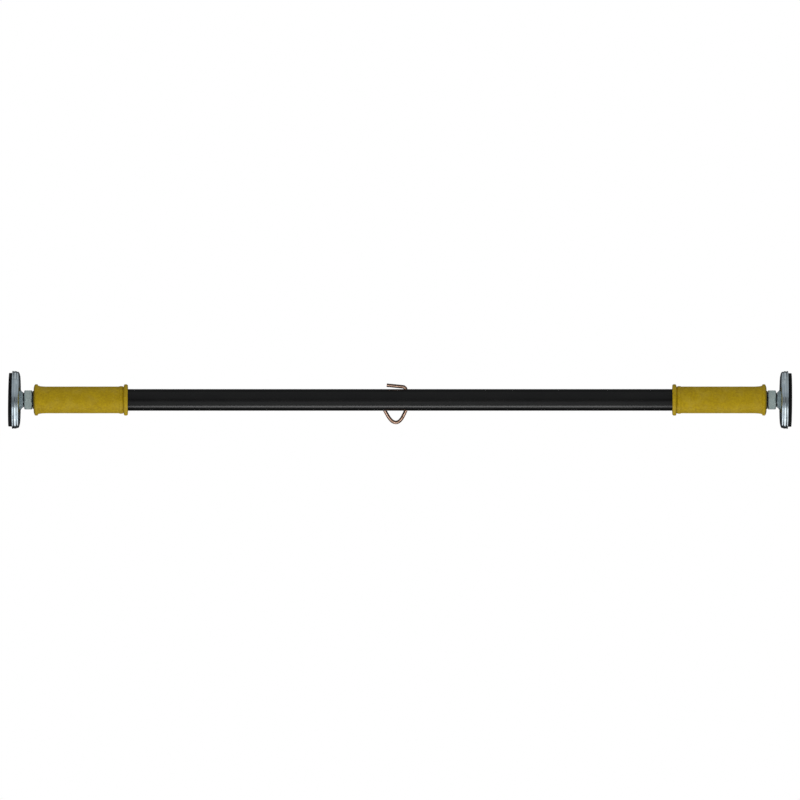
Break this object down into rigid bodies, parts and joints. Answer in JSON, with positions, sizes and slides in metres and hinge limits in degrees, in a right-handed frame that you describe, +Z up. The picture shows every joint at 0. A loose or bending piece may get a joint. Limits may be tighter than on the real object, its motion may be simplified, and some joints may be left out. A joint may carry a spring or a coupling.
{
  "type": "pull up bar",
  "caption": "Straight tubular pull-up bar clamped between door jambs by a screw jack with a rubber-faced cup at each end, with flanged rubber grips and a wire hook at mid-span.",
  "frame": {"origin": "the middle of the bar, on the tube's axis", "axes": "X runs along the bar from the left cup to the right cup, Y runs from front to back, +Z is up, with the hook's loop hanging below the tube"},
  "size_m": [0.904, 0.0668, 0.0668],
  "materials": {
    "satin_black_paint": "satin black paint on steel tube",
    "coppered_wire": "coppered steel wire, semi-bright",
    "yellow_rubber": "matt mustard-yellow moulded rubber",
    "black_steel": "black finished steel",
    "pin_steel": "plain spring steel",
    "zinc_steel": "bright blue-white zinc plate",
    "black_rubber": "matt black rubber"
  },
  "bodies": {
    "bar": {"bar_tube": "satin_black_paint", "left_grip": "yellow_rubber", "right_grip": "yellow_rubber", "left_end_bush": "black_steel", "right_end_bush": "black_steel", "left_bush_pin_top": "pin_steel", "left_bush_pin_bottom": "pin_steel", "right_bush_pin_top": "pin_steel", "right_bush_pin_bottom": "pin_steel"},
    "left_end": {"left_screw": "zinc_steel", "left_stop_pin": "pin_steel", "left_thrust_washer": "black_steel"},
    "left_nut": {"left_hex_nut": "zinc_steel"},
    "left_cup": {"left_end_cup": "zinc_steel", "left_keeper_washer": "pin_steel", "left_rubber_pad": "black_rubber"},
    "right_end": {"right_screw": "zinc_steel", "right_stop_pin": "pin_steel", "right_thrust_washer": "black_steel"},
    "right_nut": {"right_hex_nut": "zinc_steel"},
    "right_cup": {"right_end_cup": "zinc_steel", "right_keeper_washer": "pin_steel", "right_rubber_pad": "black_rubber"},
    "hook": {"wire_hook": "coppered_wire"}
  },
  "joints": [
    {"name": "left_extend", "type": "slide", "parent": "bar", "child": "left_end", "axis": [-1, 0, 0], "range_m": [0, 0.045]},
    {"name": "left_nut_turn", "type": "hinge", "parent": "bar", "child": "left_nut", "pos_m": [-0.4293, 0, 0], "axis": [1, 0, 0], "range_deg": [0, 8101]},
    {"name": "left_cup_swivel", "type": "hinge", "parent": "left_end", "child": "left_cup", "pos_m": [-0.442, 0, 0], "axis": [-1, 0, 0], "continuous": true},
    {"name": "right_extend", "type": "slide", "parent": "bar", "child": "right_end", "axis": [1, 0, 0], "range_m": [0, 0.045]},
    {"name": "right_nut_turn", "type": "hinge", "parent": "bar", "child": "right_nut", "pos_m": [0.4293, 0, 0], "axis": [-1, 0, 0], "range_deg": [0, 8101]},
    {"name": "right_cup_swivel", "type": "hinge", "parent": "right_end", "child": "right_cup", "pos_m": [0.442, 0, 0], "axis": [1, 0, 0], "continuous": true},
    {"name": "hook_swivel", "type": "hinge", "parent": "bar", "child": "hook", "pos_m": [0.0067, 0, 0], "axis": [0, 0, 1], "continuous": true}
  ],
  "couplings": [
    {"joint": "left_nut_turn", "follows": "left_extend", "rad_per_m": 3141.6},
    {"joint": "right_nut_turn", "follows": "right_extend", "rad_per_m": 3141.6}
  ]
}
